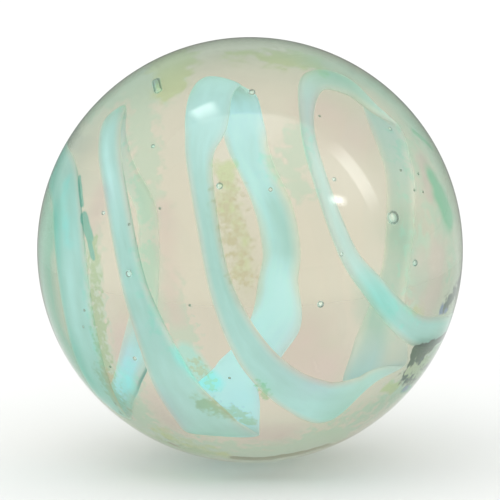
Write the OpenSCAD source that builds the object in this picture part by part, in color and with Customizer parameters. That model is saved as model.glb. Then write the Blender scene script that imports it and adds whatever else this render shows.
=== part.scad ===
// Glass marble: a round ball of clear glass with one aqua glass ribbon wound through it like a
// corkscrew, and gas bubbles caught in the clear glass. It has no joints: the two glasses are fused.
// Millimetres, +Z up, the origin at the ball's centre. The ribbon winds round the X axis, from -X
// to +X, and -Y is the side where its open loop shows.

/* [Ball] */
// Diameter of the ball
ball_d = 16; // [13:0.5:25]

/* [Ribbon] */
// Width of the ribbon across its flat, on a plain turn
ribbon_w = 1.0; // [0.7:0.05:1.25]
// Thickness of the ribbon in the middle of its width
ribbon_t = 0.4; // [0.2:0.05:0.6]
// Clear glass over the ribbon where it runs under the skin
cover = 0.4; // [0.3:0.05:0.9]

/* [Bubbles] */
// Clear glass over the top of a bubble
bubble_cover = 0.06; // [0.03:0.01:0.12]
// Diameter of the large bubble
large_d = 0.52; // [0.3:0.02:0.64]
// Diameter of a middling bubble
middle_d = 0.26; // [0.14:0.02:0.3]
// Diameter of a small bubble
small_d = 0.16; // [0.08:0.02:0.2]
// Diameter of a seed, the smallest bubble
seed_d = 0.1; // [0.06:0.02:0.14]
// Width of the drawn-out bubble
long_w = 0.34; // [0.2:0.02:0.5]
// Length of the drawn-out bubble over its round ends
long_l = 1.05; // [0.6:0.05:1.2]

/* [Hidden] */

// Radius at which the middle of the ribbon runs when it is just under the skin
skin_r = ball_d/2 - cover - ribbon_t/2;

// Route of the ribbon's middle line, one row a stop: [turn, along, reach, swell].
// turn: degrees round the X axis, 0 at the front (-Y), 90 below, 180 behind and 270 above
// along: place on the X axis, from -1 at the left skin to 1 at the right skin
// reach: distance from the X axis, 1 just under the skin and 0 on the axis
// swell: width at that stop as a multiple of ribbon_w
route = [
    // tail behind the left side
    [-240, -0.34, 1.00, 0.60], [-205, -0.54, 1.00, 1.20], [-165, -0.74, 1.00, 1.50],
    [-125, -0.87, 1.00, 1.60],
    // first turn: down the left rim, and back up through the inside
    [ -85, -0.91, 1.00, 1.60], [ -45, -0.88, 1.00, 1.90], [ -10, -0.86, 1.00, 2.05],
    [  22, -0.82, 1.00, 2.00], [  50, -0.75, 1.00, 1.90], [  70, -0.64, 0.95, 1.50],
    [  85, -0.46, 0.58, 1.05], [  98, -0.38, 0.39, 0.80], [ 132, -0.33, 0.18, 0.55],
    [ 222, -0.34, 0.18, 0.50], [ 268, -0.47, 0.40, 0.60],
    // second turn
    [ 290, -0.63, 0.93, 1.00], [ 305, -0.67, 1.00, 1.05], [ 325, -0.65, 1.00, 1.00],
    [ 357, -0.57, 1.00, 1.05], [ 375, -0.48, 1.00, 1.35], [ 394, -0.35, 1.00, 1.85],
    [ 408, -0.20, 1.00, 2.30], [ 419, -0.12, 0.86, 2.30], [ 438, -0.12, 0.54, 2.40],
    [ 456,  0.00, 0.39, 1.95], [ 470,  0.08, 0.28, 1.30], [ 498,  0.09, 0.19, 0.95],
    [ 530,  0.10, 0.16, 0.90], [ 585,  0.07, 0.19, 0.95], [ 620,  0.00, 0.33, 1.10],
    // third turn: the open loop
    [ 638, -0.03, 0.51, 1.25], [ 649, -0.07, 0.78, 1.45], [ 655, -0.14, 0.97, 1.55],
    [ 662, -0.19, 1.00, 1.60], [ 673, -0.21, 1.00, 1.55], [ 685, -0.24, 1.00, 0.95],
    [ 710, -0.18, 1.00, 0.80], [ 725, -0.11, 1.00, 0.95], [ 740,  0.02, 1.00, 1.30],
    [ 751,  0.17, 1.00, 1.55], [ 759,  0.31, 1.00, 1.90], [ 767,  0.42, 0.90, 2.35],
    [ 779,  0.50, 0.62, 2.15], [ 800,  0.47, 0.33, 1.40], [ 845,  0.47, 0.18, 0.75],
    [ 935,  0.50, 0.18, 0.75], [ 980,  0.53, 0.38, 0.90], [ 996,  0.52, 0.69, 1.40],
    // fourth turn: the thin strand that runs off over the right rim
    [1004,  0.42, 0.91, 1.45], [1013,  0.30, 0.99, 0.95], [1028,  0.27, 1.00, 0.55],
    [1044,  0.31, 1.00, 0.55], [1070,  0.46, 1.00, 0.70], [1085,  0.61, 1.00, 0.95],
    [1104,  0.76, 1.00, 1.10], [1125,  0.88, 1.00, 1.20],
    // tail behind the right side
    [1155,  0.93, 1.00, 1.10], [1190,  0.91, 1.00, 1.30], [1225,  0.80, 1.00, 1.40],
    [1262,  0.62, 1.00, 1.40], [1300,  0.48, 1.00, 1.10], [1325,  0.42, 1.00, 0.60]
];
legs = len(route) - 1;
leg_rings = 3;            // rings laid on each leg between two stops
rings = legs*leg_rings;   // steps from the first ring to the last
sides = 10;               // corners of one ring
nose = 1.2;               // legs over which each end of the ribbon rounds off

// Bubbles, one row each: [side, height, diameter]. side: degrees from -Y towards +X, height: degrees up
bubbles = [
    [  44,  16, large_d],
    [  50,   3, middle_d], [  19,  -5, middle_d], [   1,  57, middle_d], [  -9,  27, middle_d],
    [ -34,   2, middle_d], [   6,  26, small_d], [  26,  28, small_d], [ -35, -22, small_d],
    [ -45,  17, small_d], [  25,   8, small_d], [  58,  40, small_d], [ -34,  37, small_d],
    [  52,  28, seed_d], [  60,  26, seed_d], [  59,  21, seed_d], [  55,  22, seed_d],
    [ -35,  15, seed_d], [  -6, -26, seed_d], [  28,  47, seed_d], [ -51, -10, seed_d],
    [ -53, -15, seed_d], [ -46, -26, seed_d], [ -26,  20, seed_d], [ -16,  -5, seed_d],
    [ 120,  30, middle_d], [ 165, -35, small_d], [-150,  40, small_d], [-120, -15, seed_d],
    [ 175,  62, seed_d]
];
// The drawn-out bubble: side and height as above, and its lean from upright
long_side = -53;
long_height = 57;
long_lean = -55;

function unit(v) = v/norm(v);

// Smooth curve through b and c, with a before them and d after, at a share t of the way
function through(a, b, c, d, t) =
    0.5*(2*b + (c - a)*t + (2*a - 5*b + 4*c - d)*t*t + (3*b - a - 3*c + d)*t*t*t);

// Row of the route at s, counted in legs from its start
function row(s) = let(k = max(0, min(legs - 1, floor(s))))
    through(route[max(0, k - 1)], route[k], route[k + 1], route[min(legs, k + 2)], s - k);

// Middle line of the ribbon at s
function line(s) = let(r = row(s), x = skin_r*r[1], q = min(1, r[2])*sqrt(skin_r*skin_r - x*x))
    [x, -q*cos(r[0]), -q*sin(r[0])];

// How far the ribbon lies along the skin: 1 just under it, 0 inside, where it faces away from the X axis
function outward(reach) = let(t = max(0, min(1, (reach - 0.6)/0.4))) t*t*(3 - 2*t);

// How full the ribbon is at s: 1 along its run, rounding off at both ends
function full(s) = let(t = min(1, (min(s, legs - s) + 0.04)/nose)) sqrt(1 - (1 - t)*(1 - t));

// One ring round the ribbon at s: an oval, ribbon_w times its swell wide and ribbon_t thick
function ring(s) = let(
        p = line(s),
        dir = unit(line(s + 0.02) - line(s - 0.02)),
        out = outward(row(s)[2]),
        face = unit(out*unit(p) + (1 - out)*unit([0, p[1], p[2]])),
        across = unit(cross(dir, face)),
        up = cross(across, dir),
        w = full(s)*row(s)[3]*ribbon_w/2,
        t = full(s)*ribbon_t/2
    )
    [for (i = [0:sides - 1]) p + across*w*cos(360*i/sides) + up*t*sin(360*i/sides)];

// The ribbon's form, which is also the space that the clear glass leaves for it
module ribbon_form() {
    points = [for (k = [0:rings]) each ring(k/leg_rings)];
    walls = [for (k = [0:rings - 1]) for (i = [0:sides - 1])
        let(a = k*sides + i, b = k*sides + (i + 1)%sides)
        each [[a, b, b + sides], [a, b + sides, a + sides]]];
    first_end = [for (i = [1:sides - 2]) [0, i + 1, i]];
    last_end = [for (i = [1:sides - 2]) [rings*sides, rings*sides + i, rings*sides + i + 1]];
    polyhedron(points, concat(walls, first_end, last_end));
}

// Moves what is at the origin to lie under the skin, its middle deep below the surface
module under_skin(side, height, deep) {
    rotate([0, 0, side]) rotate([-height, 0, 0]) translate([0, deep - ball_d/2, 0]) children();
}

module round_bubbles() {
    for (b = bubbles) under_skin(b[0], b[1], bubble_cover + b[2]/2) sphere(d = b[2], $fn = 24);
}

// A bubble drawn out by the twist of the glass: a round bar with ball ends
module long_bubble() {
    half = (long_l - long_w)/2;
    under_skin(long_side, long_height, bubble_cover + long_w/2 + 0.05) rotate([0, long_lean, 0]) {
        cylinder(d = long_w, h = 2*half, center = true, $fn = 24);
        translate([0, 0, half]) sphere(d = long_w, $fn = 24);
        translate([0, 0, -half]) sphere(d = long_w, $fn = 24);
    }
}

// The ball: clear glass all round the ribbon, with its bubbles
module clear_glass() {
    color([0.83, 0.82, 0.74, 0.35])
        difference() {
            sphere(d = ball_d, $fn = 96);
            ribbon_form();
            round_bubbles();
            long_bubble();
        }
}

// The ribbon: opaque aqua glass, fused to the clear glass all round
module aqua_ribbon() {
    color([0.62, 0.86, 0.82]) ribbon_form();
}

clear_glass();
aqua_ribbon();
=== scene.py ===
# Glass marble: clear glass with a warm green cast, an aqua glass ribbon wound through it like a
# corkscrew, gas bubbles, and fine green bloom in the glass. Metres, +Z up, origin at the ball's centre.
from math import cos, pi, radians, sin

import bpy
import numpy as np
from mathutils import Matrix, Vector


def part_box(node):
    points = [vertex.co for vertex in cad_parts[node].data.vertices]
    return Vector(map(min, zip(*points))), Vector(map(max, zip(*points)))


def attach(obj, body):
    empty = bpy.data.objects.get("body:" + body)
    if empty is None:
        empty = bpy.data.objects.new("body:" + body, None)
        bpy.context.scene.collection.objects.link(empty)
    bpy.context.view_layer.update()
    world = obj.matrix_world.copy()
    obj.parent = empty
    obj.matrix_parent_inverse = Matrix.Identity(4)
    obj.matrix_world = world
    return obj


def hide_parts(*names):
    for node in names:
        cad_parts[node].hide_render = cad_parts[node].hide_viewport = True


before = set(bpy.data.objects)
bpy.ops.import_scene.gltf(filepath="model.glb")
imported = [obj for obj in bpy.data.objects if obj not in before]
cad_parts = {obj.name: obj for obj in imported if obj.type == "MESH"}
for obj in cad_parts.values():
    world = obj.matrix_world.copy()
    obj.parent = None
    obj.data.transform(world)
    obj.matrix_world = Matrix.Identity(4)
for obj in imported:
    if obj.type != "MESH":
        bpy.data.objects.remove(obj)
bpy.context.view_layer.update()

MM = 0.001

# The ball: its box in metres, its radius in millimetres, and the rings and sides of its mesh
LOW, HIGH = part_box("clear_glass")
BALL_R = (HIGH[2] - LOW[2])/2/MM
BALL_RINGS = 224
BALL_SIDES = 384

# The ribbon, in millimetres
RIBBON_W = 1.0
RIBBON_T = 0.4
COVER = 0.4
SKIN_R = BALL_R - COVER - RIBBON_T/2
LEG_RINGS = 16
RIBBON_SIDES = 32

# Legs over which each end of the ribbon rounds off, and a short step along it that gives its direction
NOSE = 1.2
NEAR = 0.02

# Width of the ribbon's narrow edge, and of the edge along which it thins out, in millimetres
NARROW_EDGE = 0.04
THIN_EDGE = 0.26

# Route of the ribbon's middle line, one row a stop: [turn, along, reach, swell].
# turn: degrees round the X axis, 0 at the front (-Y), 90 below, 180 behind and 270 above
# along: place on the X axis, from -1 at the left skin to 1 at the right skin
# reach: distance from the X axis, 1 just under the skin and 0 on the axis
# swell: width at that stop as a multiple of RIBBON_W
ROUTE = np.array([
    # tail behind the left side
    [-240, -0.34, 1.00, 0.60], [-205, -0.54, 1.00, 1.20], [-165, -0.74, 1.00, 1.50],
    [-125, -0.87, 1.00, 1.60],
    # first turn: down the left rim, and back up through the inside
    [ -85, -0.91, 1.00, 1.60], [ -45, -0.88, 1.00, 1.90], [ -10, -0.86, 1.00, 2.05],
    [  22, -0.82, 1.00, 2.00], [  50, -0.75, 1.00, 1.90], [  70, -0.64, 0.95, 1.50],
    [  85, -0.46, 0.58, 1.05], [  98, -0.38, 0.39, 0.80], [ 132, -0.33, 0.18, 0.55],
    [ 222, -0.34, 0.18, 0.50], [ 268, -0.47, 0.40, 0.60],
    # second turn
    [ 290, -0.63, 0.93, 1.00], [ 305, -0.67, 1.00, 1.05], [ 325, -0.65, 1.00, 1.00],
    [ 357, -0.57, 1.00, 1.05], [ 375, -0.48, 1.00, 1.35], [ 394, -0.35, 1.00, 1.85],
    [ 408, -0.20, 1.00, 2.30], [ 419, -0.12, 0.86, 2.30], [ 438, -0.12, 0.54, 2.40],
    [ 456,  0.00, 0.39, 1.95], [ 470,  0.08, 0.28, 1.30], [ 498,  0.09, 0.19, 0.95],
    [ 530,  0.10, 0.16, 0.90], [ 585,  0.07, 0.19, 0.95], [ 620,  0.00, 0.33, 1.10],
    # third turn: the open loop
    [ 638, -0.03, 0.51, 1.25], [ 649, -0.07, 0.78, 1.45], [ 655, -0.14, 0.97, 1.55],
    [ 662, -0.19, 1.00, 1.60], [ 673, -0.21, 1.00, 1.55], [ 685, -0.24, 1.00, 0.95],
    [ 710, -0.18, 1.00, 0.80], [ 725, -0.11, 1.00, 0.95], [ 740,  0.02, 1.00, 1.30],
    [ 751,  0.17, 1.00, 1.55], [ 759,  0.31, 1.00, 1.90], [ 767,  0.42, 0.90, 2.35],
    [ 779,  0.50, 0.62, 2.15], [ 800,  0.47, 0.33, 1.40], [ 845,  0.47, 0.18, 0.75],
    [ 935,  0.50, 0.18, 0.75], [ 980,  0.53, 0.38, 0.90], [ 996,  0.52, 0.69, 1.40],
    # fourth turn: the thin strand that runs off over the right rim
    [1004,  0.42, 0.91, 1.45], [1013,  0.30, 0.99, 0.95], [1028,  0.27, 1.00, 0.55],
    [1044,  0.31, 1.00, 0.55], [1070,  0.46, 1.00, 0.70], [1085,  0.61, 1.00, 0.95],
    [1104,  0.76, 1.00, 1.10], [1125,  0.88, 1.00, 1.20],
    # tail behind the right side
    [1155,  0.93, 1.00, 1.10], [1190,  0.91, 1.00, 1.30], [1225,  0.80, 1.00, 1.40],
    [1262,  0.62, 1.00, 1.40], [1300,  0.48, 1.00, 1.10], [1325,  0.42, 1.00, 0.60],
])
LEGS = len(ROUTE) - 1

# Tone of the ribbon along its route: [turn, light, haze, bare].
# light: painted light and shade, from the shaded aqua of strands under the skin (0) to the lit aqua of
# those inside (1)
# haze: how far cloudy glass hides the strand
# bare: how far the strand thins out to the look of the clear glass round it
TONES = np.array([
    # tail behind the left side, and the first turn
    [-240, 0.5, 0.2, 0.0], [-125, 0.5, 0.1, 0.0], [-45, 0.2, 0.0, 0.0], [50, 0.2, 0.0, 0.0],
    [70, 0.4, 0.0, 0.0], [85, 1.0, 0.0, 0.0], [98, 1.0, 0.1, 0.0], [108, 0.9, 0.5, 0.4],
    [118, 0.9, 0.6, 0.8], [222, 0.7, 0.6, 0.9], [268, 0.4, 0.7, 0.7],
    # second turn
    [288, 0.3, 0.3, 0.1], [300, 0.4, 0.0, 0.0], [330, 0.3, 0.0, 0.0], [350, 0.1, 0.0, 0.0],
    [380, 0.0, 0.0, 0.0], [394, 0.2, 0.1, 0.0], [412, 0.4, 0.2, 0.0], [430, 1.0, 0.0, 0.0],
    [505, 1.0, 0.0, 0.0], [530, 0.7, 0.0, 0.0], [600, 0.7, 0.0, 0.0], [625, 0.5, 0.0, 0.0],
    # third turn: the open loop
    [650, 0.5, 0.0, 0.0], [675, 0.4, 0.0, 0.0], [690, 0.2, 0.0, 0.0], [710, 0.0, 0.0, 0.0],
    [740, 0.1, 0.0, 0.0], [760, 0.5, 0.0, 0.0], [779, 0.4, 0.4, 0.0], [800, 0.3, 0.8, 0.1],
    [935, 0.3, 0.9, 0.1], [980, 0.5, 0.8, 0.0],
    # fourth turn, and the tail behind the right side
    [1003, 0.6, 0.6, 0.0], [1020, 0.6, 0.35, 0.0], [1045, 0.8, 0.5, 0.0], [1070, 0.7, 0.4, 0.0],
    [1087, 0.4, 0.0, 0.0], [1125, 0.35, 0.0, 0.0], [1190, 0.5, 0.1, 0.0], [1325, 0.5, 0.2, 0.0],
])

# Strength along the route of what is on part of the ribbon's width, each row [turn, strength].
# Painted shade in a crease along the ribbon's right edge
CREASE = np.array([
    [-54, 0.0], [-44, 0.7], [-24, 0.7], [-14, 0.4], [-6, 0.0], [82, 0.0], [88, 0.9], [96, 0.9],
    [100, 0.0], [316, 0.0], [326, 0.5], [368, 0.5], [382, 0.0],
])

# Bright band along the middle of the ribbon
SHEEN = np.array([
    [-60, 0.0], [-40, 0.25], [30, 0.25], [50, 0.1], [70, 0.0], [300, 0.0], [312, 0.5], [325, 0.4],
    [345, 0.0],
])

# Painted shade on the ribbon's right half
SHADED_RIGHT_HALF = np.array([[500, 0.0], [525, 0.5], [585, 0.5], [605, 0.0]])

# How far the ribbon's right half fades to the look of the clear glass
FADED = np.array([[772, 0.0], [784, 0.9], [804, 0.9], [830, 0.0]])

# How far both edges of the ribbon fade to the look of the clear glass
DISSOLVED = np.array([[775, 0.0], [800, 0.9], [960, 0.9], [1000, 0.6], [1015, 0.0]])

# Sage cloud over the ribbon's right edge
ASIDE = np.array([[530, 0.0], [560, 0.5], [590, 0.9], [625, 0.9], [640, 0.0]])

# How far the ribbon's edges thin out
THINNING = np.array([
    [400, 0.8], [420, 0.3], [465, 0.3], [490, 0.8], [630, 0.8], [642, 0.1], [668, 0.1], [690, 0.8],
])

# Painted glow in the fold at the top of the open loop
FOLD_GLOW = np.array([[640, 0.0], [646, 0.7], [654, 0.7], [662, 0.0]])

# Painted glow of the ribbon's inner face where it runs under the skin
INNER_FACE = np.array([
    [60, 1.0], [75, 0.0], [305, 0.0], [325, 1.0], [380, 1.0], [395, 0.0], [675, 0.0], [690, 1.0],
    [735, 1.0], [750, 0.0], [1025, 0.0], [1045, 1.0],
])

# Gas bubbles, one row each: [side, height, diameter]. side: degrees from -Y towards +X, height: degrees up
BUBBLE_COVER = 0.06
LARGE, MIDDLE, SMALL, SEED = 0.52, 0.26, 0.16, 0.1
BUBBLES = [
    [44, 16, LARGE],
    [50, 3, MIDDLE], [19, -5, MIDDLE], [1, 57, MIDDLE], [-9, 27, MIDDLE], [-34, 2, MIDDLE],
    [6, 26, SMALL], [26, 28, SMALL], [-35, -22, SMALL], [-45, 17, SMALL], [25, 8, SMALL],
    [58, 40, SMALL], [-34, 37, SMALL],
    [52, 28, SEED], [60, 26, SEED], [59, 21, SEED], [55, 22, SEED], [-35, 15, SEED],
    [-6, -26, SEED], [28, 47, SEED], [-51, -10, SEED], [-53, -15, SEED], [-46, -26, SEED],
    [-26, 20, SEED], [-16, -5, SEED],
    [120, 30, MIDDLE], [165, -35, SMALL], [-150, 40, SMALL], [-120, -15, SEED], [175, 62, SEED],
]
BUBBLE_RINGS = 16
BUBBLE_SIDES = 24

# The drawn-out bubble: width, length over its round ends, place, lean from upright, and how much
# deeper than the others it lies
LONG_W = 0.34
LONG_L = 1.05
LONG_SIDE, LONG_HEIGHT, LONG_LEAN = -53, 57, -55
LONG_DEEPER = 0.05

# Patches in the clear glass, by kind, one row each: [side, height, side, height, half width, strength].
# Each runs from the first place to the second; places are in degrees as for the bubbles, and so is the
# half width.
PATCHES = {
    "mist": [
        [48, 12, 52, -6, 9, 1.2], [-34, -8, -36, -20, 6, 0.5], [14, -16, 24, -28, 9, 0.9],
        [30, 45, 38, 40, 9, 0.9], [-5, 20, 0, 0, 5, 0.9],
    ],
    "sage": [
        [-73, 57, -51, 53, 8, 1.1], [-46, 46, -35, 34, 5, 0.9], [-33, 28, -28, 18, 5, 0.9],
        [-27, 8, -24, -8, 5, 0.9], [-47, 12, -45, -8, 4, 0.9], [-45, -8, -46, -26, 4, 0.9],
        [-22, -2, -19, -14, 5, 0.9], [-40, -28, -44, -46, 5, 0.9], [17, 41, 14, 34, 4, 0.9],
        [8, 33, 15, 26, 4, 0.9], [64, 30, 64, 4, 12, 0.6], [52, 8, 50, -6, 8, 0.7],
        [-58, -48, -30, -60, 6, 0.9], [-40, -56, 37, -54, 9, 1.2], [44, -46, 62, -33, 8, 0.7],
        [-90, 40, -73, 50, 7, 0.9],
    ],
    "lime": [
        [-96, 66, -55, 66, 6, 1.3], [-55, 65, -42, 57, 5, 1.3], [27, 71, 49, 69, 7, 0.9],
        [-10, 74, 20, 74, 6, 0.6], [-8, 32, -6, 22, 3.5, 0.8], [-4, 18, 0, 2, 4, 0.5],
        [-40, -51, -19, -62, 6, 0.6], [50, -33, 54, -34, 2.4, 1.0], [51, -10, 57, -10, 2.2, 0.8],
    ],
    "rose": [
        [14, -16, 22, -26, 9, 0.8], [30, 48, 38, 40, 9, 0.7], [-37, -14, -38, -22, 5, 0.8],
        [-47, 22, -47, 12, 4, 0.8], [-32, -36, -30, -46, 6, 0.8], [66, 29, 62, 20, 3, 1.0],
        [3, -48, 12, -48, 6, 0.8], [-24, 20, -20, -8, 4, 0.7], [60, 3, 57, -8, 6, 1.0],
        [51, 3, 52, -4, 5, 0.8],
    ],
    "teal": [
        [60, 67, 76, 54, 8, 0.6], [76, 50, 76, 40, 8, 0.6], [46, 9, 50, 0, 9, 0.4],
        [34, -4, 38, -11, 7, 0.5], [78, 36, 72, 14, 8, 0.4], [-90, 26, -73, 8, 7, 1.0],
        [-74, 8, -71, -32, 8, 1.6],
    ],
    "aqua": [
        [-18, -19, -12, -27, 3.6, 1.2], [-66, 22, -58, 8, 4, 0.42], [-37, -23, -40, -34, 3, 0.45],
    ],
    "moss": [
        [-46, 9, -45, -8, 2.5, 0.8], [-45, -10, -47, -26, 3, 0.8], [-66, -48, -54, -56, 4, 0.8],
        [-56, -57, -30, -62, 5, 0.9], [-15, -21, -11, -29, 2.0, 0.8], [3, -28, 5, -31, 1.8, 0.7],
    ],
    "umber": [
        [-50, -30, -52, -39, 4, 0.9], [-15, -35, -4, -39, 3, 0.9], [-2, -41, 0, -42, 2, 1.0],
        [-7, 26, -2, 4, 4, 0.6],
    ],
    "olive": [
        [-8, -66, 12, -67, 2.4, 1.3], [12, -66, 31, -63, 2.2, 1.3], [31, -63, 44, -59, 1.8, 1.0],
        [44, -61, 57, -57, 1.6, 0.8], [-55, -40, -58, -45, 1.0, 0.7], [-75, -57, -60, -58, 1.6, 0.9],
        [-44, -58, -42, -59, 1.0, 1.2], [85, -26, 83, -44, 1.6, 0.9],
    ],
    "deep": [
        [-52, 15, -48, 10, 1.6, 1.2], [-60, 25, -54, 18, 0.9, 1.1], [-48, 9, -46, 5, 0.9, 1.1],
        [62, -36, 72, -38, 1.6, 0.9],
    ],
    "emerald": [
        [67, 24, 68, 20, 3.6, 0.9], [68, 19, 70, 13, 4.5, 1.1], [72, 37, 79, 31, 1.3, 1.1],
    ],
    "blue": [[65, -12, 69, -12, 1.9, 1.0], [63, -36, 66, -37, 1.6, 0.7]],
    # the darkest patches, near the lower right rim
    "darkest_patch": [
        [56, -23, 66, -23, 2.4, 1.3], [57, -26, 62, -27, 2.4, 1.3], [69, -22, 80, -22, 1.5, 1.0],
        [56, -30, 57, -31, 1.4, 1.1], [66, -33, 72, -34, 1.2, 0.8],
    ],
    # dark patches, near the lower right rim
    "dark_patch": [[68, -11, 76, -9, 2.6, 0.95], [76, -9, 82, -6, 2.6, 0.9], [59, -30, 78, -31, 4.0, 1.1]],
    "flake": [[57, -29, 64, -30, 2.6, 0.8], [66, -28, 76, -27, 2.6, 0.8], [64, -31, 74, -33, 2.0, 0.8]],
}

# Look of each kind of patch: tint, noise scale, raggedness and edge steepness. They are laid on in this
# order, so a kind covers those above it.
PATCH_LOOKS = {
    "mist": ((0.72, 0.76, 0.70), 0.7, 0.8, 1.2),
    "sage": ((0.62, 0.90, 0.82), 3.0, 2.4, 2.6),
    "lime": ((0.61, 0.82, 0.43), 1.8, 1.6, 2.5),
    "rose": ((0.84, 0.72, 0.77), 0.8, 0.8, 1.5),
    "teal": ((0.20, 0.74, 0.64), 0.7, 0.8, 1.2),
    "aqua": ((0.40, 0.96, 0.94), 1.2, 0.8, 2.0),
    "moss": ((0.42, 0.70, 0.44), 4.5, 2.6, 2.5),
    "umber": ((0.59, 0.60, 0.39), 4.5, 2.2, 2.0),
    "olive": ((0.20, 0.22, 0.14), 2.4, 1.2, 4.0),
    "deep": ((0.13, 0.54, 0.50), 2.0, 0.8, 3.5),
    "emerald": ((0.14, 0.70, 0.44), 0.9, 0.6, 2.0),
    "blue": ((0.12, 0.22, 0.62), 3.0, 1.2, 2.5),
    "darkest_patch": ((0.018, 0.050, 0.028), 2.2, 0.9, 8.0),
    "dark_patch": ((0.02, 0.06, 0.05), 4.0, 2.2, 3.0),
    "flake": ((0.54, 0.68, 0.48), 4.5, 2.2, 5.0),
}

# The camera looks at the ball's middle from the front and VIEW_UP above, through a long lens
VIEW_UP = radians(10)
VIEW_DISTANCE = 0.2
VIEW_LENS = 383
VIEW_SENSOR = 36

# Distance from the ball's centre to every lamp, in metres
LAMP_DISTANCE = 0.6

# Colours of the ribbon's glass: shaded and lit copies of one aqua, a painted shade and light, for the
# strands under the skin and inside; through cloudy glass (two tones), as bare as the clear glass round it
# (two tones), with painted shade in a crease, under the sage cloud, and at its thin edges (where it runs
# under the skin, and inside)
SHADED_AQUA = (0.43, 0.68, 0.645)
LIT_AQUA = (0.65, 0.97, 1.00)
HAZY = (0.58, 0.62, 0.51), (0.67, 0.70, 0.57)
BARE = (0.74, 0.73, 0.59), (0.88, 0.79, 0.68)
CREASE_SHADE = (0.22, 0.42, 0.36)
SAGE_SIDE = (0.58, 0.80, 0.71)
THIN = (0.76, 0.74, 0.65), (0.76, 0.73, 0.60)

# Painted shade of the ribbon's narrow sides inside, and painted glow standing in for scattered light, as
# shares of its own colour
SIDE_SHADE = (0.93, 0.92, 0.91)
EDGE_GLOW = (0.18, 0.18, 0.16)
INNER_GLOW = (0.12, 0.178, 0.33)

# The clear glass: two tints of its skin, the colour and density of its depth, and the painted glow of its
# aqua patches
GLASS_TINTS = (0.84, 0.89, 0.87), (0.92, 0.90, 0.88)
DEPTH_COLOUR = (0.64, 0.536, 0.264)
DEPTH_DENSITY = 50.0
AQUA_PATCH_GLOW = (0.0, 0.06, 0.07)

# Painted shade at the rim, tinted green: its colour, and how far the glass turns away from the eye where it
# starts and is full
RIM_SHADE = (0.26, 0.49, 0.37)
RIM_START, RIM_FULL = 0.2, 0.85

# Height in millimetres over which the green painted rim shade comes back above the ball's foot, and how
# much of it is left at the foot
FOOT_LOW, FOOT_HIGH = -7.4, -5.0
FOOT_RIM = 0.15

# Bubble walls: roughness, tint and painted glow, and the darker painted shade and painted glow of the seeds
FROST = 0.35
WALL_TINT, WALL_GLOW = (1.0, 1.0, 1.0), (0.10, 0.13, 0.11)
SEED_SHADE, SEED_GLOW = (0.50, 0.62, 0.50), (0.02, 0.03, 0.02)

# The room: its colour in front and behind, and at its left and right, and its strength overhead
ROOM_AHEAD = (1.0, 1.0, 1.0)
ROOM_ASIDE = (0.86, 0.92, 0.88)
ROOM_OVERHEAD = 0.72

# The board under the ball: its two tones, its half width in metres, how light its far part is, and the
# distances in millimetres between which it goes over to that
BOARD_TONES = (0.60, 0.60, 0.595), (0.62, 0.62, 0.615)
BOARD_HALF = 10.0
BOARD_FAR = 0.975
BOARD_FADE = 60.0, 600.0

# How much stronger the room's light is on matt surfaces than as it is seen
MATT_LIGHT = 2.0

# How much duller the room and the board are straight behind the ball, where the glass mirrors them, and
# the cosines of the angles off that direction at which this starts and is full
DULL_BEHIND = 0.75
DULL_START, DULL_FULL = 0.80, 0.985


def mesh_piece(name, points, faces, material, marks=(), body="root"):
    """A smooth-shaded mesh of points in millimetres and arrays of faces, put into metres, with one
    float attribute a point for each name in marks, riding on a body."""
    corners = np.concatenate([part.ravel() for part in faces])
    sizes = np.concatenate([np.full(len(part), part.shape[1]) for part in faces])
    mesh = bpy.data.meshes.new(name)
    mesh.vertices.add(len(points))
    mesh.vertices.foreach_set("co", (points*MM).ravel())
    mesh.loops.add(len(corners))
    mesh.loops.foreach_set("vertex_index", corners)
    mesh.polygons.add(len(sizes))
    mesh.polygons.foreach_set("loop_start", np.cumsum(sizes) - sizes)
    mesh.polygons.foreach_set("use_smooth", np.ones(len(sizes), dtype=bool))
    mesh.update(calc_edges=True)
    for title, values in dict(marks).items():
        layer = mesh.attributes.new(title, "FLOAT", "POINT")
        layer.data.foreach_set("value", np.asarray(values, dtype=np.float32))
    mesh.materials.append(material)
    piece = bpy.data.objects.new(name, mesh)
    bpy.context.scene.collection.objects.link(piece)
    if body:
        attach(piece, body)
    return piece


def unit(v):
    """Each vector divided by its own length."""
    return v/np.linalg.norm(v, axis=-1, keepdims=True)


def smooth(x):
    """0 below 0, 1 above 1 and 3x^2 - 2x^3 between."""
    x = np.clip(x, 0, 1)
    return x*x*(3 - 2*x)


def from_view(right, up, toward):
    """A direction given from the camera's place: to its right, up, and from the ball towards it."""
    return Vector((right, up*sin(VIEW_UP) - toward*cos(VIEW_UP), up*cos(VIEW_UP) + toward*sin(VIEW_UP)))


def direction(side, height):
    """The way from the ball's centre: side degrees from -Y towards +X, and height degrees up."""
    side, height = np.radians(side), np.radians(height)
    return np.stack([np.cos(height)*np.sin(side), -np.cos(height)*np.cos(side), np.sin(height)], -1)


def globe(rings, sides):
    """A ball of radius 1: rings - 1 circles (sin t cos a, sin t sin a, cos t) between one point at the
    top and one at the bottom. Returns the points, and the faces as quads and two fans of triangles."""
    t = np.linspace(0, pi, rings + 1)[1:-1, None]
    a = np.linspace(0, 2*pi, sides, endpoint=False)[None, :]
    belt = np.stack([np.sin(t)*np.cos(a), np.sin(t)*np.sin(a), np.cos(t) + 0*a], -1).reshape(-1, 3)
    points = np.vstack([belt, [[0, 0, 1], [0, 0, -1]]])
    here = np.arange(sides)
    there = np.roll(here, -1)
    start = np.arange(rings - 2)[:, None]*sides
    quads = np.stack([start + here, start + sides + here, start + sides + there, start + there], -1)
    top, bottom, last = len(points) - 2, len(points) - 1, (rings - 2)*sides
    upper = np.stack([np.full(sides, top), here, there], -1)
    lower = np.stack([np.full(sides, bottom), last + there, last + here], -1)
    return points, [quads.reshape(-1, 4), np.vstack([upper, lower])]


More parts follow.
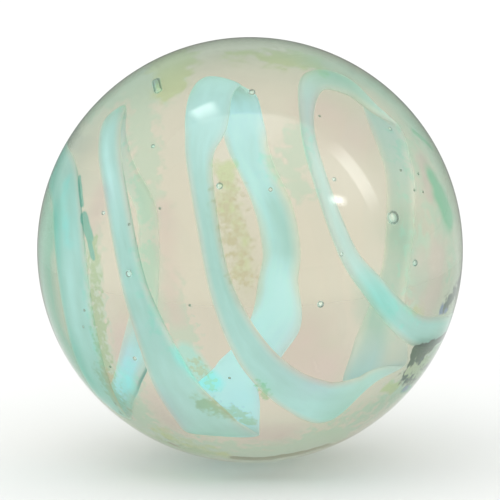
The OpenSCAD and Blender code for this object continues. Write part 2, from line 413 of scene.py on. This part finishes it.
def joined(shells):
    """One list of points and faces from several closed shells."""
    points, quads, fans, count = [], [], [], 0
    for shell, (four, three) in shells:
        points.append(shell)
        quads.append(four + count)
        fans.append(three + count)
        count += len(shell)
    return np.vstack(points), [np.vstack(quads), np.vstack(fans)]


def inside_out(faces):
    """The same faces, seen from the other side."""
    return [part[:, ::-1] for part in faces]


def long_bubble():
    """A round bar with ball ends, along Z: a ball whose upper and lower halves are drawn apart. It
    leans about Y, goes out to lie under the skin, and is turned to its height and side."""
    points, faces = globe(BUBBLE_RINGS, BUBBLE_SIDES)
    points = points*LONG_W/2
    points[:, 2] += np.sign(points[:, 2])*(LONG_L - LONG_W)/2
    lean, side, height = (radians(angle) for angle in (LONG_LEAN, LONG_SIDE, LONG_HEIGHT))
    x, y, z = points.T
    x, z = x*cos(lean) + z*sin(lean), z*cos(lean) - x*sin(lean)
    y = y - (BALL_R - BUBBLE_COVER - LONG_DEEPER - LONG_W/2)
    y, z = y*cos(height) + z*sin(height), z*cos(height) - y*sin(height)
    x, y = x*cos(side) - y*sin(side), x*sin(side) + y*cos(side)
    return np.stack([x, y, z], -1), inside_out(faces)


def patch_amount(points, patches):
    """How much of one kind of patch each point has: its strength times exp(-(d/w)^2), where d is the
    distance to the patch's middle line on a ball of radius 1 and w its half width; the most counts."""
    place = unit(points)
    most = np.zeros(len(points))
    for side_a, height_a, side_b, height_b, width, strength in patches:
        a, b = direction(side_a, height_a), direction(side_b, height_b)
        share = np.clip((place - a) @ (b - a)/max((b - a) @ (b - a), 1e-6), 0, 1)
        away = np.linalg.norm(place - a - share[:, None]*(b - a), axis=1)
        most = np.maximum(most, strength*np.exp(-(away/radians(width))**2))
    return most


def ball_mesh():
    """The ball's skin, and the walls of its bubbles, which face into the bubble. The mark bubble is 1 on
    the walls of every bubble and seed is 1 on those of the seeds; each kind of patch has its own mark."""
    skin, skin_faces = globe(BALL_RINGS, BALL_SIDES)
    shells = [(skin*BALL_R, skin_faces), long_bubble()]
    kinds = [(0, 0), (1, 0)]
    for side, height, diameter in BUBBLES:
        points, faces = globe(BUBBLE_RINGS, BUBBLE_SIDES)
        centre = direction(side, height)*(BALL_R - BUBBLE_COVER - diameter/2)
        shells.append((centre + points*diameter/2, inside_out(faces)))
        kinds.append((1, diameter == SEED))
    points, faces = joined(shells)
    bubble, seed = np.repeat(np.array(kinds, dtype=float), [len(shell[0]) for shell in shells], axis=0).T
    marks = {name: patch_amount(points, patches) for name, patches in PATCHES.items()}
    marks.update(bubble=bubble, seed=seed)
    return points, faces, marks


def route_row(s):
    """Row of the route at s, counted in legs from its start: the smooth curve through the stops,
    (2b + (c - a)t + (2a - 5b + 4c - d)t^2 + (3b - a - 3c + d)t^3)/2."""
    leg = np.clip(np.floor(s), 0, LEGS - 1).astype(int)
    a, b, c, d = (ROUTE[np.clip(leg + step, 0, LEGS)] for step in (-1, 0, 1, 2))
    t = (s - leg)[:, None]
    return (2*b + (c - a)*t + (2*a - 5*b + 4*c - d)*t**2 + (3*b - a - 3*c + d)*t**3)/2


def route_line(s):
    """Middle line of the ribbon at s: along the X axis by its share of the skin radius, and off it by
    reach times what is left to the skin, turned by the row's angle."""
    turn, along, reach, swell = route_row(s).T
    x = SKIN_R*along
    off = np.minimum(1, reach)*np.sqrt(SKIN_R**2 - x*x)
    return np.stack([x, -off*np.cos(np.radians(turn)), -off*np.sin(np.radians(turn))], -1)


def outward(reach):
    """How far the ribbon lies along the skin: 1 just under it, and 0 inside, up to a reach of 0.6, where
    it faces away from the X axis."""
    return smooth((reach - 0.6)/0.4)


def fullness(s):
    """How full the ribbon is at s: 1 along its run, rounding off at both ends as a quarter circle does.
    It starts 0.04 legs in, so that the end faces have a size."""
    share = np.minimum(1, (np.minimum(s, LEGS - s) + 0.04)/NOSE)
    return np.sqrt(1 - (1 - share)**2)


def along_run(turn, table, column=1):
    """A column of a table read at each turn, straight from row to row, as one number for each ring."""
    return np.interp(turn, table[:, 0], table[:, column])[:, None, None]


def ribbon_marks(turn, reach, length, w, a):
    """The ribbon's marks, from each ring's turn, reach, length along the route and half width w, and from
    each corner's angle a round the ring. cos(a) is -1 on the right edge and 1 on the left one, and
    sin(a) is -1 on the inner face. run and across are the place along the route and over the width.
    light is a painted light and shade, haze and bare are tones, thin is on both edges, aside and crease, a
    painted shade, are on the right one. inside is 1 away from the skin, side is the narrow edges there,
    under a painted shade, glow is a painted glow on all of what is inside and on part of the inner face
    under the skin, and lit is a painted glow on the narrow edges and in a fold."""
    over = np.cos(a)
    edge = w*(1 - np.abs(over))
    narrow = 1 - smooth(edge/NARROW_EDGE)
    inside = (1 - outward(reach))[:, None, None]
    haze = along_run(turn, TONES, 2)
    marks = {
        "run": length[:, None, None],
        "across": over,
        # light: painted light and shade, with a painted sheen and painted shade on the right half
        "light": (along_run(turn, TONES)
                  + along_run(turn, SHEEN)*(1 - smooth(2*np.abs(over - 0.1)))
                  - along_run(turn, SHADED_RIGHT_HALF)*smooth(0.7 - over)),
        "haze": haze,
        "bare": np.maximum.reduce(np.broadcast_arrays(
            along_run(turn, TONES, 3),
            along_run(turn, FADED)*smooth(0.4 - 1.5*over),
            along_run(turn, DISSOLVED)*smooth(1.6*np.abs(over) - 0.6),
        )),
        "thin": along_run(turn, THINNING)*(1 - haze)*np.clip(1 - edge/THIN_EDGE, 0, 1),
        "aside": along_run(turn, ASIDE)*smooth(-1.2 - 2*over),
        "inside": inside,
        "glow": np.maximum(inside, along_run(turn, INNER_FACE)*smooth(-3*np.sin(a))),
        "side": inside*narrow,
        "lit": np.maximum(along_run(turn, FOLD_GLOW), (1 - along_run(turn, DISSOLVED))*narrow),
        "crease": along_run(turn, CREASE)*smooth(-9 - 10*over),
    }
    everywhere = np.zeros((len(turn), RIBBON_SIDES, 1))
    return {name: (values + everywhere).ravel() for name, values in marks.items()}


def ribbon_sweep():
    """An oval carried along the route: p + across*w*cos(a) + up*t*sin(a). across is square to the way
    and to the face, which looks out from the ball's centre under the skin and away from the X axis
    inside. w and t round off to nothing at both ends. The walls are quads between rings, and each end
    is closed by one flat face."""
    s = np.linspace(0, LEGS, LEGS*LEG_RINGS + 1)
    turn, along, reach, swell = route_row(s).T
    p = route_line(s)
    way = unit(route_line(s + NEAR) - route_line(s - NEAR))
    out = outward(reach)[:, None]
    face = unit(out*unit(p) + (1 - out)*unit(p*[0, 1, 1]))
    across = unit(np.cross(way, face))
    up = np.cross(across, way)
    w = (fullness(s)*swell*RIBBON_W/2)[:, None, None]
    t = (fullness(s)*RIBBON_T/2)[:, None, None]
    a = (np.arange(RIBBON_SIDES)*2*pi/RIBBON_SIDES)[None, :, None]
    points = p[:, None] + across[:, None]*w*np.cos(a) + up[:, None]*t*np.sin(a)
    length = np.concatenate([[0], np.cumsum(np.linalg.norm(np.diff(p, axis=0), axis=1))])
    here = np.arange(RIBBON_SIDES)
    there = np.roll(here, -1)
    start = np.arange(len(s) - 1)[:, None]*RIBBON_SIDES
    after = start + RIBBON_SIDES
    walls = np.stack([start + here, start + there, after + there, after + here], -1)
    first = here[None, ::-1]
    last = first[:, ::-1] + (len(s) - 1)*RIBBON_SIDES
    faces = [walls.reshape(-1, 4), first, last]
    return points.reshape(-1, 3), faces, ribbon_marks(turn, reach, length, w, a)


def node(tree, kind, inputs=(), **settings):
    """One node of a tree: settings are its properties, inputs its sockets' values or what feeds them."""
    made = tree.nodes.new(kind)
    for name, value in settings.items():
        setattr(made, name, value)
    for socket, value in dict(inputs).items():
        if isinstance(value, bpy.types.NodeSocket):
            tree.links.new(value, made.inputs[socket])
        else:
            made.inputs[socket].default_value = value
    return made


def group(name, sockets, result, kind):
    """An empty node group with float or vector inputs and one output."""
    tree = bpy.data.node_groups.new(name, "ShaderNodeTree")
    for socket, value in sockets.items():
        if isinstance(value, float):
            made = tree.interface.new_socket(socket, in_out="INPUT", socket_type="NodeSocketFloat")
            made.default_value = value
        else:
            tree.interface.new_socket(socket, in_out="INPUT", socket_type="NodeSocketVector")
    tree.interface.new_socket(result, in_out="OUTPUT", socket_type=kind)
    return tree, tree.nodes.new("NodeGroupInput").outputs, tree.nodes.new("NodeGroupOutput").inputs


def flaky_patch_group():
    """Mask of a patch with a flaky outline: ((Amount - 0.5) + (noise - 0.5)*Ragged)*Edge + 0.5, held
    between 0 and 1, with the noise at Scale about Vector, and times Amount*5 where that is under 1."""
    sockets = {"Vector": None, "Amount": 0.0, "Scale": 1.0, "Ragged": 1.0, "Edge": 6.0}
    tree, given, result = group("flaky patch", sockets, "Mask", "NodeSocketFloat")
    inputs = {"Vector": given["Vector"], "Scale": given["Scale"], "Detail": 4.0}
    noise = node(tree, "ShaderNodeTexNoise", inputs)
    middle = node(tree, "ShaderNodeMath", {0: noise.outputs[0], 1: 0.5}, operation="SUBTRACT")
    ragged = node(tree, "ShaderNodeMath", {0: middle.outputs[0], 1: given["Ragged"]}, operation="MULTIPLY")
    raised = node(tree, "ShaderNodeMath", {0: given["Amount"], 1: ragged.outputs[0]}, operation="ADD")
    level = node(tree, "ShaderNodeMath", {0: raised.outputs[0], 1: 0.5}, operation="SUBTRACT")
    steep = node(tree, "ShaderNodeMath", {0: level.outputs[0], 1: given["Edge"]}, operation="MULTIPLY")
    mask = node(tree, "ShaderNodeMath", {0: steep.outputs[0], 1: 0.5}, operation="ADD", use_clamp=True)
    near = node(tree, "ShaderNodeMath", {0: given["Amount"], 1: 5.0}, operation="MULTIPLY", use_clamp=True)
    held = node(tree, "ShaderNodeMath", {0: mask.outputs[0], 1: near.outputs[0]}, operation="MULTIPLY")
    tree.links.new(held.outputs[0], result["Mask"])
    return tree


def place_mm(tree, shift=(0, 0, 0)):
    """Object coordinates in millimetres, moved by shift."""
    where = node(tree, "ShaderNodeTexCoord")
    inputs = {"Vector": where.outputs["Object"], "Location": shift, "Scale": (1/MM,)*3}
    return node(tree, "ShaderNodeMapping", inputs).outputs[0]


def mark(tree, name):
    """The value of one of the mesh's attributes."""
    return node(tree, "ShaderNodeAttribute", attribute_name=name).outputs["Fac"]


def mixed(tree, factor, a, b, blend="MIX"):
    """Colour a going over to colour b by factor."""
    made = node(tree, "ShaderNodeMix", data_type="RGBA", blend_type=blend)
    for socket, value in ((0, factor), (6, a), (7, b)):
        if isinstance(value, bpy.types.NodeSocket):
            tree.links.new(value, made.inputs[socket])
        elif socket == 0:
            made.inputs[socket].default_value = value
        else:
            made.inputs[socket].default_value = (*value, 1)
    return made.outputs[2]


def new_material(name):
    """A material with its Principled shader, and its node tree."""
    material = bpy.data.materials.new(name)
    material.use_nodes = True
    return material, material.node_tree, material.node_tree.nodes["Principled BSDF"]


def foot_fade(tree):
    """How much of the painted green rim shade shows: FOOT_RIM up to the height FOOT_LOW, 1 from FOOT_HIGH
    upwards, and straight from one to the other between."""
    height = node(tree, "ShaderNodeSeparateXYZ", {0: place_mm(tree)}).outputs["Z"]
    inputs = {0: height, 1: FOOT_LOW, 2: FOOT_HIGH, 3: FOOT_RIM, 4: 1.0}
    return node(tree, "ShaderNodeMapRange", inputs).outputs[0]


def clear_glass_material(flaky_patch):
    """Clear glass that is warm in its depth and a little green and uneven at its skin. Patches tint it by
    kind, each over those before it and with its flakes at places of their own, and the aqua ones have a
    little painted glow. A green painted shade darkens the rim, but less so at the foot. The bubbles have
    frosted walls with a painted glow, and the seeds a darker painted shade and a weaker painted glow."""
    material, tree, shader = new_material("clear_glass_look")
    shader.inputs["Transmission Weight"].default_value = 1.0
    shader.inputs["IOR"].default_value = 1.5
    cloud = node(tree, "ShaderNodeTexNoise", {"Vector": place_mm(tree), "Scale": 0.35, "Detail": 3.0})
    colour = mixed(tree, cloud.outputs[0], *GLASS_TINTS)
    masks = {}
    for step, (name, (tint, scale, ragged, edge)) in enumerate(PATCH_LOOKS.items()):
        inputs = {"Vector": place_mm(tree, (7.0*step, 3.0*step, 0)), "Amount": mark(tree, name),
                  "Scale": scale, "Ragged": ragged, "Edge": edge}
        masks[name] = node(tree, "ShaderNodeGroup", inputs, node_tree=flaky_patch).outputs[0]
        colour = mixed(tree, masks[name], colour, tint)
    # painted green shade at the rim, less at the foot
    glancing = node(tree, "ShaderNodeLayerWeight").outputs["Facing"]
    rim = node(tree, "ShaderNodeMapRange", {0: glancing, 1: RIM_START, 2: RIM_FULL},
               interpolation_type="SMOOTHSTEP")
    rim = node(tree, "ShaderNodeMath", {0: rim.outputs[0], 1: foot_fade(tree)}, operation="MULTIPLY")
    colour = mixed(tree, rim.outputs[0], colour, mixed(tree, 1.0, colour, RIM_SHADE, "MULTIPLY"))
    bubble = mark(tree, "bubble")
    seed = mark(tree, "seed")
    wall = mixed(tree, seed, WALL_TINT, SEED_SHADE)
    tree.links.new(mixed(tree, bubble, colour, wall), shader.inputs["Base Color"])
    frost = node(tree, "ShaderNodeMath", {0: bubble, 1: FROST}, operation="MULTIPLY")
    tree.links.new(frost.outputs[0], shader.inputs["Roughness"])
    glow = mixed(tree, masks["aqua"], (0.0, 0.0, 0.0), AQUA_PATCH_GLOW)
    wall_glow = mixed(tree, seed, WALL_GLOW, SEED_GLOW)
    tree.links.new(mixed(tree, bubble, glow, wall_glow), shader.inputs["Emission Color"])
    shader.inputs["Emission Strength"].default_value = 1.0
    inputs = {"Color": (*DEPTH_COLOUR, 1), "Density": DEPTH_DENSITY}
    depth = node(tree, "ShaderNodeVolumeAbsorption", inputs)
    tree.links.new(depth.outputs[0], tree.nodes["Material Output"].inputs["Volume"])
    return material


def aqua_glass_material(flaky_patch):
    """Opaque aqua glass: from shaded to lit aqua by the mark light, a painted light and shade, with streaks
    along its run. It goes over to cloudy glass by haze, to the look of the clear glass by bare, to sage on
    one side by aside, to a warmer tone at its edges by thin, and to a painted crease shade by crease; side
    lays a painted shade on its narrow sides inside. A painted glow of its own colour stands in for
    scattered light: INNER_GLOW by glow and EDGE_GLOW by lit."""
    material, tree, shader = new_material("aqua_glass_look")
    shader.inputs["Roughness"].default_value = 0.5
    shader.inputs["Specular IOR Level"].default_value = 0.0
    run = node(tree, "ShaderNodeMath", {0: mark(tree, "run"), 1: 0.35}, operation="MULTIPLY")
    streak_place = node(tree, "ShaderNodeCombineXYZ", {0: run.outputs[0], 1: mark(tree, "across")})
    inputs = {"Vector": streak_place.outputs[0], "Scale": 1.6, "Detail": 3.0}
    streak = node(tree, "ShaderNodeTexNoise", inputs)
    uneven = node(tree, "ShaderNodeMath", {0: streak.outputs[0], 1: 0.5}, operation="SUBTRACT")
    light = node(tree, "ShaderNodeMath", {0: uneven.outputs[0], 1: 0.6, 2: mark(tree, "light")},
                 operation="MULTIPLY_ADD", use_clamp=True)
    # painted light and shade: from the shaded to the lit aqua
    colour = mixed(tree, light.outputs[0], SHADED_AQUA, LIT_AQUA)
    cloud = node(tree, "ShaderNodeTexNoise", {"Vector": place_mm(tree), "Scale": 0.5, "Detail": 2.0})
    colour = mixed(tree, mark(tree, "haze"), colour, mixed(tree, cloud.outputs[0], *HAZY))
    colour = mixed(tree, mark(tree, "bare"), colour, mixed(tree, cloud.outputs[0], *BARE))
    inputs = {"Vector": place_mm(tree), "Amount": mark(tree, "aside"), "Scale": 1.2, "Ragged": 1.6,
              "Edge": 4.0}
    aside = node(tree, "ShaderNodeGroup", inputs, node_tree=flaky_patch)
    colour = mixed(tree, aside.outputs[0], colour, SAGE_SIDE)
    colour = mixed(tree, mark(tree, "thin"), colour, mixed(tree, mark(tree, "inside"), *THIN))
    # painted shade on the narrow sides inside
    colour = mixed(tree, mark(tree, "side"), colour, mixed(tree, 1.0, colour, SIDE_SHADE, "MULTIPLY"))
    # painted shade in the crease
    colour = mixed(tree, mark(tree, "crease"), colour, CREASE_SHADE)
    tree.links.new(colour, shader.inputs["Base Color"])
    lit = node(tree, "ShaderNodeMath", {0: mark(tree, "glow"), 1: mark(tree, "lit")}, operation="MAXIMUM")
    glow = mixed(tree, 1.0, mixed(tree, mark(tree, "glow"), EDGE_GLOW, INNER_GLOW), colour, "MULTIPLY")
    tree.links.new(glow, shader.inputs["Emission Color"])
    tree.links.new(lit.outputs[0], shader.inputs["Emission Strength"])
    return material


def behind(tree, way):
    """1 - DULL_BEHIND*x for what is mirrored and 1 for all else. x goes from 0 to 1 as way, a unit vector,
    comes round to point straight away from the camera."""
    away = -from_view(0, 0, 1)
    facing = node(tree, "ShaderNodeVectorMath", {0: way, 1: away}, operation="DOT_PRODUCT").outputs["Value"]
    inputs = {0: facing, 1: DULL_START, 2: DULL_FULL, 3: 0.0, 4: DULL_BEHIND}
    dull = node(tree, "ShaderNodeMapRange", inputs)
    path = node(tree, "ShaderNodeLightPath").outputs
    mirrored = node(tree, "ShaderNodeMath", {0: path["Is Glossy Ray"], 1: path["Is Transmission Ray"]},
                    operation="SUBTRACT", use_clamp=True)
    shade = node(tree, "ShaderNodeMath", {0: dull.outputs[0], 1: mirrored.outputs[0]}, operation="MULTIPLY")
    return node(tree, "ShaderNodeMath", {0: 1.0, 1: shade.outputs[0]}, operation="SUBTRACT").outputs[0]


def floor_material():
    """Matt white board with a faint grain, BOARD_FAR as light far off. As with the room, it lights matt
    surfaces more strongly than it is seen, by a glow, and it is duller behind the ball where the glass
    mirrors it."""
    material, tree, shader = new_material("white_board")
    shader.inputs["Roughness"].default_value = 0.8
    shader.inputs["Specular IOR Level"].default_value = 0.0
    grain = node(tree, "ShaderNodeTexNoise", {"Vector": place_mm(tree), "Scale": 0.05, "Detail": 2.0})
    colour = mixed(tree, grain.outputs[0], *BOARD_TONES)
    distance = node(tree, "ShaderNodeVectorMath", {0: place_mm(tree)}, operation="LENGTH").outputs["Value"]
    near_end, far_end = BOARD_FADE
    far = node(tree, "ShaderNodeMapRange", {0: distance, 1: near_end, 2: far_end, 3: 1.0, 4: BOARD_FAR})
    way = node(tree, "ShaderNodeVectorMath", {0: place_mm(tree)}, operation="NORMALIZE").outputs["Vector"]
    dull = node(tree, "ShaderNodeMath", {0: far.outputs[0], 1: behind(tree, way)}, operation="MULTIPLY")
    tree.links.new(mixed(tree, dull.outputs[0], (0.0, 0.0, 0.0), colour), shader.inputs["Base Color"])
    deep = node(tree, "ShaderNodeLightPath").outputs["Diffuse Depth"]
    deep = node(tree, "ShaderNodeMapRange", {0: deep, 1: 0.0, 2: 1.0, 3: 0.0, 4: MATT_LIGHT - 1})
    shader.inputs["Emission Color"].default_value = (1, 1, 1, 1)
    tree.links.new(deep.outputs[0], shader.inputs["Emission Strength"])
    return material


def make_floor():
    """A flat board, far wider than the view, at the height that the ball rests on."""
    half = BOARD_HALF/MM
    z = LOW[2]/MM
    corners = np.array([[-half, -half, z], [half, -half, z], [half, half, z], [-half, half, z]])
    floor = mesh_piece("floor", corners, [np.array([[0, 1, 2, 3]])], floor_material(), body=None)


def make_world():
    """A pale room, duller overhead and greener at its left and right. What lights matt surfaces is
    stronger by MATT_LIGHT, as from lamps all round, and it is duller behind the ball where the glass
    mirrors it."""
    world = bpy.data.worlds.new("pale_room")
    bpy.context.scene.world = world
    world.use_nodes = True
    tree = world.node_tree
    way = node(tree, "ShaderNodeTexCoord").outputs["Generated"]
    parts = node(tree, "ShaderNodeSeparateXYZ", {0: way})
    aside = node(tree, "ShaderNodeMath", {0: parts.outputs[0]}, operation="ABSOLUTE").outputs[0]
    aside = node(tree, "ShaderNodeMapRange", {0: aside, 1: 0.6, 2: 1.0}, interpolation_type="SMOOTHSTEP")
    colour = mixed(tree, aside.outputs[0], ROOM_AHEAD, ROOM_ASIDE)
    fall = {0: parts.outputs[2], 1: 0.45, 2: 1.0, 3: 1.0, 4: ROOM_OVERHEAD}
    level = node(tree, "ShaderNodeMapRange", fall).outputs[0]
    depth = node(tree, "ShaderNodeLightPath").outputs["Diffuse Depth"]
    deep = node(tree, "ShaderNodeMapRange", {0: depth, 1: 0.0, 2: 1.0, 3: 1.0, 4: MATT_LIGHT}).outputs[0]
    strength = node(tree, "ShaderNodeMath", {0: level, 1: deep}, operation="MULTIPLY").outputs[0]
    strength = node(tree, "ShaderNodeMath", {0: strength, 1: behind(tree, way)}, operation="MULTIPLY")
    tree.links.new(colour, tree.nodes["Background"].inputs["Color"])
    tree.links.new(strength.outputs[0], tree.nodes["Background"].inputs["Strength"])


def lamp(name, way, along, wide, tall, glow, soft, seen_in=("glossy",)):
    """A flat lamp facing the ball from a direction, tall in the direction along and wide across it, both
    in metres, with glow as its brightness. It fades to its edges over a share of its size: soft holds
    the shares at its two sides, its foot and its head. It only counts for the kinds of ray in seen_in."""
    light = bpy.data.lights.new(name, "AREA")
    light.shape = "RECTANGLE"
    light.size = wide
    light.size_y = tall
    light.energy = glow*pi*wide*tall
    light.use_nodes = True
    tree = light.node_tree
    over = node(tree, "ShaderNodeNewGeometry").outputs["Parametric"]
    place = node(tree, "ShaderNodeSeparateXYZ", {0: over})
    strength = 1.0
    for axis, edge, share in ((0, 0.0, soft[0]), (0, 1.0, soft[0]), (1, 0.0, soft[1]), (1, 1.0, soft[2])):
        inner = edge + share*(1 - 2*edge)
        fade = node(tree, "ShaderNodeMapRange", {0: place.outputs[axis], 1: edge, 2: inner},
                    interpolation_type="SMOOTHSTEP")
        inputs = {0: fade.outputs[0], 1: strength}
        strength = node(tree, "ShaderNodeMath", inputs, operation="MULTIPLY").outputs[0]
    tree.links.new(strength, tree.nodes["Emission"].inputs["Strength"])
    made = bpy.data.objects.new(name, light)
    z = way.normalized()
    x = along.cross(z).normalized()
    y = z.cross(x)
    made.matrix_world = Matrix((x, y, z)).transposed().to_4x4()
    made.location = z*LAMP_DISTANCE
    made.visible_camera = False
    made.visible_diffuse = "diffuse" in seen_in
    made.visible_glossy = "glossy" in seen_in
    made.visible_transmission = False
    bpy.context.scene.collection.objects.link(made)


def make_lamps():
    """A large soft lamp that lights the table, and lamps that only show as glints on the glass: a broad
    glow over its upper half, a window at the upper left, and on the right a short bright glint and a
    long streak in a pale halo."""
    lamp("soft_top", Vector((-0.35, -0.3, 0.9)), from_view(0, 0, 1),
         0.6, 0.6, 0.6, (0.25, 0.25, 0.25), ("diffuse",))
    lamp("broad_glow", from_view(0.00, 0.64, 0.77), from_view(0, 1, 0),
         1.1, 1.0, 2.2, (0.5, 1.0, 0.05))
    lamp("halo_glint", from_view(0.70, 0.58, 0.42), from_view(-0.5, 0.8, 0),
         0.55, 0.6, 1.5, (0.5, 0.5, 0.5))
    lamp("window_glint", from_view(-0.30, 0.945, 0.13), from_view(0.2, 0, 1),
         0.14, 0.17, 6.0, (0.3, 0.2, 0.8))
    lamp("bright_glint", from_view(0.700, 0.399, 0.56), from_view(0.3, 1, 0),
         0.14, 0.075, 14.0, (0.5, 0.5, 0.5))
    lamp("streak_glint", from_view(0.775, 0.55, 0.27), from_view(-0.56, 0.83, 0),
         0.11, 0.42, 3.4, (0.2, 0.4, 0.4))


def make_camera():
    """From the front and VIEW_UP above, through a long lens, with the ball's centre in the middle."""
    data = bpy.data.cameras.new("camera")
    data.lens = VIEW_LENS
    data.sensor_width = VIEW_SENSOR
    data.clip_start = 0.01
    camera = bpy.data.objects.new("camera", data)
    camera.location = from_view(0, 0, 1)*VIEW_DISTANCE
    camera.rotation_euler = (pi/2 - VIEW_UP, 0, 0)
    bpy.context.scene.collection.objects.link(camera)
    bpy.context.scene.camera = camera


bpy.context.scene.view_settings.view_transform = "Standard"
make_camera()
make_world()
make_lamps()
make_floor()

flaky_patch = flaky_patch_group()

ball_points, ball_faces, ball_marks = ball_mesh()
ball_look = clear_glass_material(flaky_patch)
ball = mesh_piece("glass_ball", ball_points, ball_faces, ball_look, ball_marks)
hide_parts("clear_glass")

ribbon_points, ribbon_faces, ribbon_marks_by_name = ribbon_sweep()
ribbon_look = aqua_glass_material(flaky_patch)
ribbon = mesh_piece("aqua_ribbon_glass", ribbon_points, ribbon_faces, ribbon_look, ribbon_marks_by_name)
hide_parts("aqua_ribbon")
